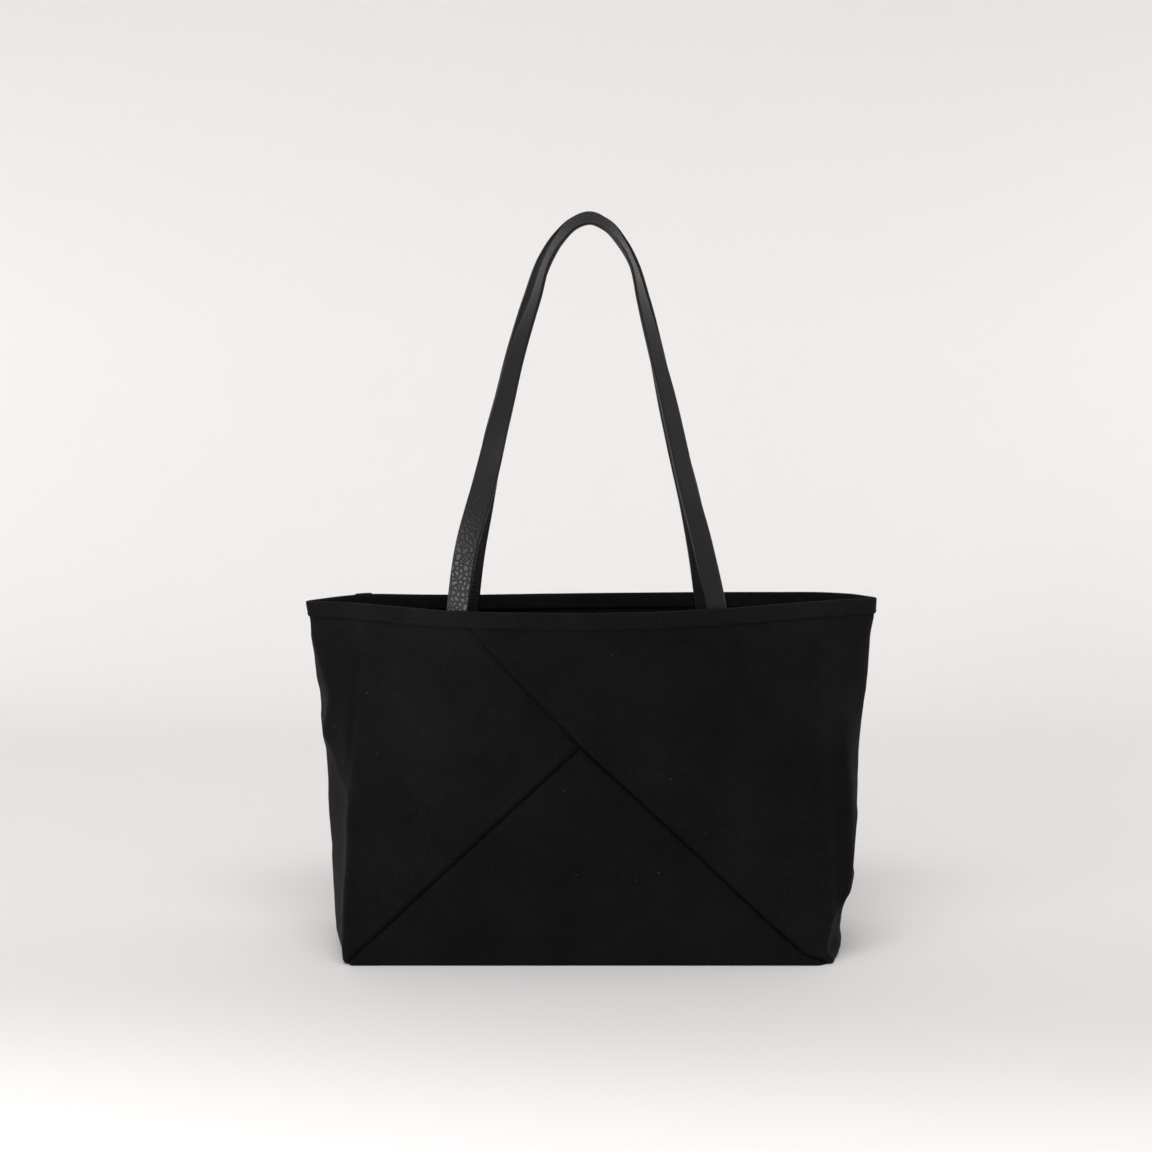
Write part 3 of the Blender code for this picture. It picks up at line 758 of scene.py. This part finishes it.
def leather_material(name):
    """Black leather: fine grain, smooth painted edges, and pebbles that are worn along the legs."""
    material, tree, shader = new_material(name, LEATHER_PLAIN, 0.45)
    shader.inputs["Specular IOR Level"].default_value = 0.31
    uv = uv_place(tree)
    warp = add(tree, "ShaderNodeTexNoise", {}, Vector=uv, Scale=160.0, Detail=2.0).outputs["Color"]
    shift = add(tree, "ShaderNodeVectorMath", {"operation": "SCALE"}, i0=warp, Scale=0.0016).outputs[0]
    place = add(tree, "ShaderNodeVectorMath", {"operation": "ADD"}, i0=uv, i1=shift).outputs[0]
    flat_cells = {"feature": "DISTANCE_TO_EDGE", "voronoi_dimensions": "2D"}
    cells = add(tree, "ShaderNodeTexVoronoi", flat_cells, Vector=place, Scale=PEBBLE_CELLS)
    pebble = ramp(tree, cells.outputs["Distance"], 0.0, 0.26)
    fine = add(tree, "ShaderNodeTexNoise", {}, Vector=uv, Scale=1400.0, Detail=3.0).outputs[0]
    creases = add(tree, "ShaderNodeTexNoise", {}, Vector=uv, Scale=90.0, Detail=4.0, Distortion=1.5).outputs[0]
    reach, round_section = add(tree, "ShaderNodeSeparateXYZ", {}, i0=uv).outputs[:2]
    worn = math_node(tree, "MULTIPLY", ramp(tree, reach, *WORN_FROM), ramp(tree, reach, *WORN_TO))
    worn = math_node(tree, "MAXIMUM", worn, ramp(tree, reach, *WORN_AGAIN))
    from_edge = math_node(tree, "PINGPONG", round_section, float(SECTION_GIRTHS[-1]) / 4)
    inner = ramp(tree, from_edge, *EDGE_PAINT)
    grain = math_node(tree, "MULTIPLY", pebble, ramp(tree, worn, 0.0, 1.0, 1.0, WORN_PEBBLE))
    grain = math_node(tree, "MULTIPLY", grain, inner)
    height = math_node(tree, "ADD", grain, math_node(tree, "MULTIPLY", fine, 0.14))
    height = math_node(tree, "ADD", height, math_node(tree, "MULTIPLY", creases, 0.25))
    bump(tree, shader, height, 0.48, 0.00042)
    face_rough = ramp(tree, grain, 0.0, 1.0, 0.50, 0.34)
    edge_gloss = ramp(tree, inner, 0.0, 1.0, -0.16, 0.0)
    tree.links.new(math_node(tree, "ADD", face_rough, edge_gloss), shader.inputs["Roughness"])
    # The colour follows the pebbles' height: painted shade in their valleys and painted light on their tops
    tree.links.new(mix_colour(tree, grain, LEATHER_DARK, LEATHER_LIGHT), shader.inputs["Base Color"])
    return material


def thread_material(name, colour):
    material, tree, shader = new_material(name, colour, 0.8)
    shader.inputs["Specular IOR Level"].default_value = 0.1
    place = tree.nodes.new("ShaderNodeTexCoord").outputs["Object"]
    diagonal = {"bands_direction": "DIAGONAL"}
    twist = add(tree, "ShaderNodeTexWave", diagonal, Vector=place, Scale=900.0).outputs[1]
    bump(tree, shader, twist, 0.4, 0.0002)
    # The thread is darker in the hollows of its twist: painted shade, in the same bands as its bumps
    twist_groove_shade = [channel * 0.75 for channel in colour]
    tree.links.new(mix_colour(tree, twist, twist_groove_shade, colour), shader.inputs["Base Color"])
    return material


def board_material(name):
    material, tree, shader = new_material(name, (0.2, 0.19, 0.18), 0.85)
    place = tree.nodes.new("ShaderNodeTexCoord").outputs["Object"]
    fibres = add(tree, "ShaderNodeTexNoise", {}, Vector=place, Scale=420.0, Detail=6.0).outputs[0]
    colour = mix_colour(tree, fibres, (0.13, 0.12, 0.11), (0.26, 0.25, 0.23))
    tree.links.new(colour, shader.inputs["Base Color"])
    bump(tree, shader, fibres, 0.3, 0.0003)
    return material


# Build

canvas = canvas_material("black_canvas", BLACK_CLOTH, (0.0066, 0.0062, 0.0060), 0.0011, 0.7)
canvas_base = canvas_material("black_canvas_bottom", BLACK_CLOTH, (0.0053, 0.0051, 0.0051), 0.0011, 0.7)
binding_cloth = canvas_material("black_binding", (0.0034, 0.0032, 0.0032), (0.0080, 0.0075, 0.0074), 0.0009, 0.6)
leather = leather_material("black_leather")
thread = thread_material("black_thread", THREAD_BLACK)
board = board_material("grey_board")

panels = (
    (side_panel("canvas_left_side", -1), canvas, "left_side_panel", "canvas"),
    (side_panel("canvas_right_side", 1), canvas, "right_side_panel", "canvas"),
    (bottom_panel("canvas_bottom"), canvas_base, "bottom_panel", "canvas_bottom"),
    (rim_binding("cloth_binding"), binding_cloth, "rim_binding", "binding"),
)
for piece, material, node, slot in panels:
    dress(piece, material, "bag", node)

# The left tape ends at the apex of the seams. The right one goes on past it, a little further in.
for word, shift in (("front", 0.0), ("back", HALF_GIRTH)):
    for hand, seam, lift in (("left", LEFT_SEAM[:2], 0.0002), ("right", RIGHT_SEAM, 0.0006)):
        piece = seam_tape(f"seam_tape_{word}_{hand}", seam, shift, lift)
        dress(piece, binding_cloth, "bag")

for name, places in (
    ("rim_stitches_outside", rim_stitch_places(1)),
    ("rim_stitches_inside", rim_stitch_places(-1)),
    ("base_stitches_front", base_stitch_places(0.0)),
    ("base_stitches_back", base_stitch_places(HALF_GIRTH)),
):
    piece = stitches(name, places)
    dress(piece, thread, "bag")

for word, facing in (("front", FRONT), ("back", BACK)):
    for side, hand in ((-1, "left"), (1, "right")):
        places = box_stitch_places(facing, side)
        piece = stitches(f"{word}_strap_box_stitch_{hand}", places, BOX_STITCH_LENGTH)
        dress(piece, thread, "bag", f"{word}_strap_stitching_{hand}")
    piece = strap(f"leather_{word}_strap", facing)
    nodes = [f"{word}_strap", f"{word}_strap_end_left", f"{word}_strap_end_right"]
    dress(piece, leather, None, *nodes)
    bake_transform(piece)

board_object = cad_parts["base_board"]
board_object.data.materials.clear()
board_object.data.materials.append(board)

# Setting

FLOOR_WIDTH = 10.0
FLOOR_FRONT, FLOOR_BACK = -3.5, 0.9
SWEEP_RADIUS = 0.6
SWEEP_TOP = 1.35
WORLD_COLOUR = (1.0, 0.98, 0.975, 1)
WORLD_STRENGTH = 0.45
# Lights: (name, place, target, size, power, spread in degrees, turn in degrees)
LIGHTS = (
    ("key", (-1.58, -1.53, 0.32), (0.0, 0.0, 0.28), (0.6, 0.52), 18.0, 180, 0),
    ("left_wash", (-2.2, 0.4, 0.45), (-0.1, 1.5, 0.35), (0.7, 0.7), 7.1, 180, 0),
    ("right_wash", (2.2, 0.4, 0.45), (0.1, 1.5, 0.35), (0.7, 0.7), 10.0, 180, 0),
    ("overhead", (0.0, -1.4, 2.6), (0.0, 0.6, 0.0), (2.6, 0.8), 12.5, 90, 0),
    ("floor_wash", (0.0, -0.545, 0.75), (0.0, -0.505, 0.0), (2.4, 0.4), 1.05, 32, -6),
)
CAMERA_PLACE = (-0.010, -1.35, 0.44)
CAMERA_TILT = 90 - 5.4
CAMERA_SENSOR, CAMERA_LENS = 36.0, 50.78125


def area_light(name, place, target, size, power, spread, turn):
    light = bpy.data.lights.new(name, "AREA")
    light.shape = "RECTANGLE"
    light.size, light.size_y = size
    light.energy = power
    light.spread = math.radians(spread)
    obj = bpy.data.objects.new(name, light)
    obj.location = place
    obj.rotation_euler = (Vector(target) - Vector(place)).to_track_quat("-Z", "Y").to_euler()
    obj.rotation_euler.z += math.radians(turn)
    bpy.context.scene.collection.objects.link(obj)


def backdrop():
    """A pale floor that sweeps up into the background."""
    turns = np.linspace(0, math.pi / 2, 16)
    profile = [(FLOOR_FRONT, 0.0), (-1.5, 0.0), (0.0, 0.0), (0.7, 0.0)]
    for turn in turns:
        profile.append((FLOOR_BACK + SWEEP_RADIUS * math.sin(turn), SWEEP_RADIUS * (1 - math.cos(turn))))
    profile.append((FLOOR_BACK + SWEEP_RADIUS, SWEEP_TOP))
    sides = (-FLOOR_WIDTH / 2, FLOOR_WIDTH / 2)
    points = np.array([[(x, y, z) for x in sides] for y, z in profile], float)
    coordinates = np.stack(np.meshgrid(distances(np.array(profile)), sides, indexing="ij"), axis=-1)
    obj = grid_object("floor_sweep", points, coordinates)
    material, _, shader = new_material("pale_floor", FLOOR_COLOUR, 0.9)
    shader.inputs["Specular IOR Level"].default_value = 0.1
    obj.data.materials.append(material)
    return obj


backdrop()
scene = bpy.context.scene
scene.view_settings.view_transform = "Standard"
world = bpy.data.worlds.new("studio")
world.use_nodes = True
background = world.node_tree.nodes["Background"]
background.inputs["Color"].default_value = WORLD_COLOUR
background.inputs["Strength"].default_value = WORLD_STRENGTH
scene.world = world
for light in LIGHTS:
    area_light(*light)

camera_data = bpy.data.cameras.new("camera")
camera_data.sensor_width = CAMERA_SENSOR
camera_data.lens = CAMERA_LENS
camera = bpy.data.objects.new("camera", camera_data)
camera.location = CAMERA_PLACE
camera.rotation_euler = (math.radians(CAMERA_TILT), 0, 0)
scene.collection.objects.link(camera)
scene.camera = camera
